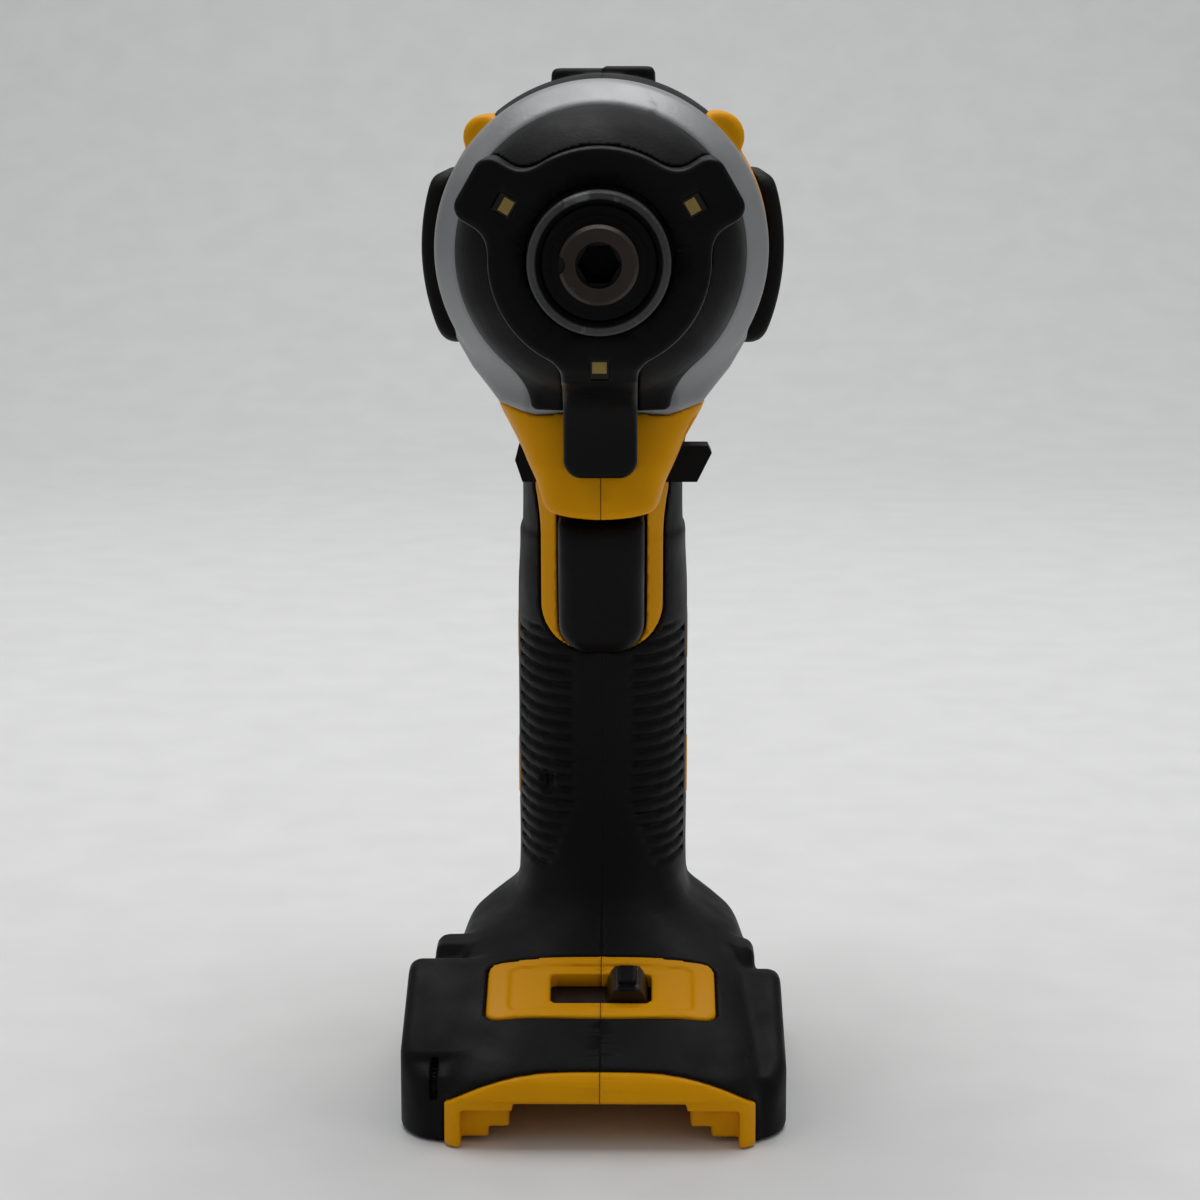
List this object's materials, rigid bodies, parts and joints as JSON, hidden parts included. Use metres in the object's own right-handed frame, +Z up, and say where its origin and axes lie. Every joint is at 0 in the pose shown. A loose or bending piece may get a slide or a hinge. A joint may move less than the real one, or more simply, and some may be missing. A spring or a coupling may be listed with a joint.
{
  "type": "cordless impact driver",
  "caption": "Bare cordless pistol-grip impact driver for hex bits: sliding bit collar with lamp ring, metal hammer case, moulded body with rubber grip and a slide-on battery foot.",
  "frame": {"origin": "middle of the box round the tool, on the surface that its battery foot stands on", "axes": "+Z up, the nose points to -Y, +X is to the right as the nose is looked at"},
  "size_m": [0.0748, 0.135, 0.199],
  "materials": {
    "yellow_shell": "fine moulded grain",
    "black_rubber": "matte overmould",
    "screw_steel": "zinc plated",
    "case_aluminium": "bare cast, blasted",
    "black_plastic": "satin",
    "lens": "clear",
    "lamp_chip": "yellow phosphor",
    "bronze": "sintered",
    "tool_steel": "hardened, oil black worn bright",
    "collar_steel": "fine turned",
    "spring_steel": "drawn wire",
    "bright_steel": "ground",
    "gear_steel": "sintered",
    "rotor_iron": "laminated with a resin coat",
    "stator_iron": "laminated",
    "copper": "enamelled wire",
    "circuit_board": "lacquered",
    "lead_sleeve": "flexible",
    "smoky_plastic": "smoky",
    "terminal_brass": "tin plated"
  },
  "bodies": {
    "housing": {"left_housing": "yellow_shell", "right_housing": "yellow_shell", "left_grip": "black_rubber", "right_grip": "black_rubber", "housing_screws": "screw_steel", "hammer_case": "case_aluminium", "nose_boot": "black_rubber", "lamp_ring": "black_plastic", "lamp_lenses": "lens", "lamp_chips": "lamp_chip", "nose_bush": "bronze", "ring_gear": "gear_steel", "gear_plate": "case_aluminium", "cam_bearing": "bright_steel", "front_bearing": "bright_steel", "rear_bearing": "bright_steel", "stator_core": "stator_iron", "stator_coils": "copper", "stator_insulators": "black_plastic", "sensor_board": "circuit_board", "motor_leads": "lead_sleeve", "trigger_spring": "spring_steel", "trigger_switch": "black_plastic", "selector_board": "circuit_board", "control_module": "black_plastic", "terminal_block": "black_plastic", "terminal_blades": "terminal_brass", "belt_hook_inserts": "bronze"},
    "rotor": {"pinion": "gear_steel", "rotor_shaft": "bright_steel", "rotor_core": "rotor_iron", "cooling_fan": "black_plastic"},
    "cam_shaft": {"cam_shaft": "tool_steel", "planet_pins": "bright_steel", "spring_seat": "bright_steel", "hammer_spring": "spring_steel"},
    "anvil": {"anvil": "tool_steel", "collar_washer": "screw_steel", "collar_clip": "spring_steel", "collar_spring": "spring_steel"},
    "planet_1": {"planet_gear_1": "gear_steel"},
    "planet_2": {"planet_gear_2": "gear_steel"},
    "planet_3": {"planet_gear_3": "gear_steel"},
    "thrust_washer": {"thrust_washer": "bright_steel", "thrust_balls": "bright_steel"},
    "hammer": {"hammer": "tool_steel", "cam_balls": "bright_steel"},
    "collar": {"collar": "collar_steel"},
    "left_detent": {"left_detent_ball": "bright_steel"},
    "right_detent": {"right_detent_ball": "bright_steel"},
    "trigger": {"trigger": "black_plastic"},
    "direction_button": {"direction_button": "black_plastic"},
    "direction_lever": {"direction_lever": "black_plastic"},
    "speed_selector": {"speed_selector": "smoky_plastic"}
  },
  "joints": [
    {"name": "rotor_spin", "type": "hinge", "parent": "housing", "child": "rotor", "pos_m": [0, 0, 0.165], "axis": [0, -1, 0], "continuous": true},
    {"name": "cam_spin", "type": "hinge", "parent": "housing", "child": "cam_shaft", "pos_m": [0, 0, 0.165], "axis": [0, -1, 0], "continuous": true},
    {"name": "anvil_spin", "type": "hinge", "parent": "housing", "child": "anvil", "pos_m": [0, 0, 0.165], "axis": [0, -1, 0], "continuous": true},
    {"name": "planet_1_spin", "type": "hinge", "parent": "cam_shaft", "child": "planet_1", "pos_m": [0, 0.0118, 0.15263], "axis": [0, -1, 0], "continuous": true},
    {"name": "planet_2_spin", "type": "hinge", "parent": "cam_shaft", "child": "planet_2", "pos_m": [-0.01072, 0.0118, 0.17119], "axis": [0, -1, 0], "continuous": true},
    {"name": "planet_3_spin", "type": "hinge", "parent": "cam_shaft", "child": "planet_3", "pos_m": [0.01072, 0.0118, 0.17119], "axis": [0, -1, 0], "continuous": true},
    {"name": "hammer_slide", "type": "slide", "parent": "cam_shaft", "child": "thrust_washer", "axis": [0, 1, 0], "range_m": [0, 0.007], "stiffness_N_per_m": 8000, "springref_m": -0.004, "deforming": ["hammer_spring"]},
    {"name": "hammer_twist", "type": "hinge", "parent": "thrust_washer", "child": "hammer", "pos_m": [0, 0, 0.165], "axis": [0, -1, 0], "range_deg": [-41, 0]},
    {"name": "collar_slide", "type": "slide", "parent": "anvil", "child": "collar", "axis": [0, -1, 0], "range_m": [0, 0.0035], "stiffness_N_per_m": 1500, "springref_m": -0.002, "deforming": ["collar_spring"]},
    {"name": "left_detent_lift", "type": "slide", "parent": "anvil", "child": "left_detent", "axis": [-1, 0, 0], "range_m": [0, 0.00052]},
    {"name": "right_detent_lift", "type": "slide", "parent": "anvil", "child": "right_detent", "axis": [1, 0, 0], "range_m": [0, 0.00052]},
    {"name": "trigger_squeeze", "type": "slide", "parent": "housing", "child": "trigger", "axis": [0, 1, 0], "range_m": [0, 0.007], "stiffness_N_per_m": 900, "springref_m": -0.004, "deforming": ["trigger_spring"]},
    {"name": "direction_slide", "type": "slide", "parent": "housing", "child": "direction_button", "axis": [1, 0, 0], "range_m": [-0.0045, 0]},
    {"name": "direction_swing", "type": "hinge", "parent": "housing", "child": "direction_lever", "pos_m": [0, 0.00428, 0.117], "axis": [0, 0, 1], "range_deg": [-24.62, 0]},
    {"name": "selector_slide", "type": "slide", "parent": "housing", "child": "speed_selector", "axis": [1, 0, 0], "range_m": [-0.01, 0]}
  ],
  "couplings": [
    {"joint": "cam_spin", "follows": "rotor_spin", "ratio": 0.18182},
    {"joint": "anvil_spin", "follows": "rotor_spin", "ratio": 0.18182},
    {"joint": "planet_1_spin", "follows": "rotor_spin", "ratio": -0.46753},
    {"joint": "planet_2_spin", "follows": "rotor_spin", "ratio": -0.46753},
    {"joint": "planet_3_spin", "follows": "rotor_spin", "ratio": -0.46753},
    {"joint": "hammer_twist", "follows": "hammer_slide", "rad_per_m": -99.733},
    {"joint": "left_detent_lift", "follows": "collar_slide", "ratio": 0.14286},
    {"joint": "right_detent_lift", "follows": "collar_slide", "ratio": 0.14286},
    {"joint": "direction_swing", "follows": "direction_slide", "rad_per_m": 94.34}
  ]
}
